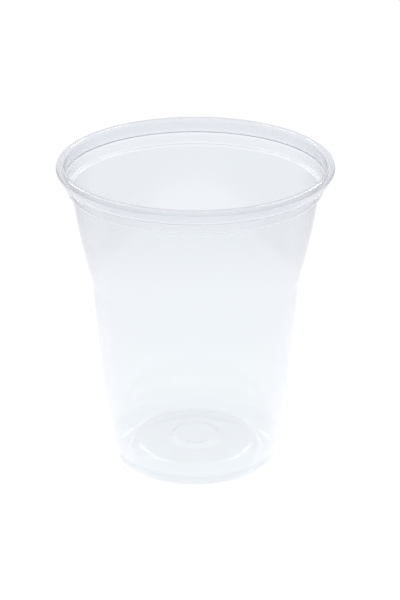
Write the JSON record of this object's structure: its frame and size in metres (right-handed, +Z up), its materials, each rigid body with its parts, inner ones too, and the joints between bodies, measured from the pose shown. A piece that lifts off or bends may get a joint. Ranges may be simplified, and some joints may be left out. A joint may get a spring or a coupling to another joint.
{
  "type": "disposable cup",
  "caption": "Clear tapered cold drink cup in one piece, with a rolled rim, a stacking collar, a waist step in the wall and a pushed-up floor on a standing ring.",
  "frame": {"origin": "on the cup's axis, at the level of the standing ring that it rests on", "axes": "+Z up along the cup's axis, out of its mouth; the cup is a body of revolution, so X and Y are free"},
  "size_m": [0.098, 0.098, 0.115],
  "materials": {
    "clear_plastic": "clear, glossy, faintly blue"
  },
  "bodies": {
    "root": {"cup": "clear_plastic"}
  },
  "joints": []
}
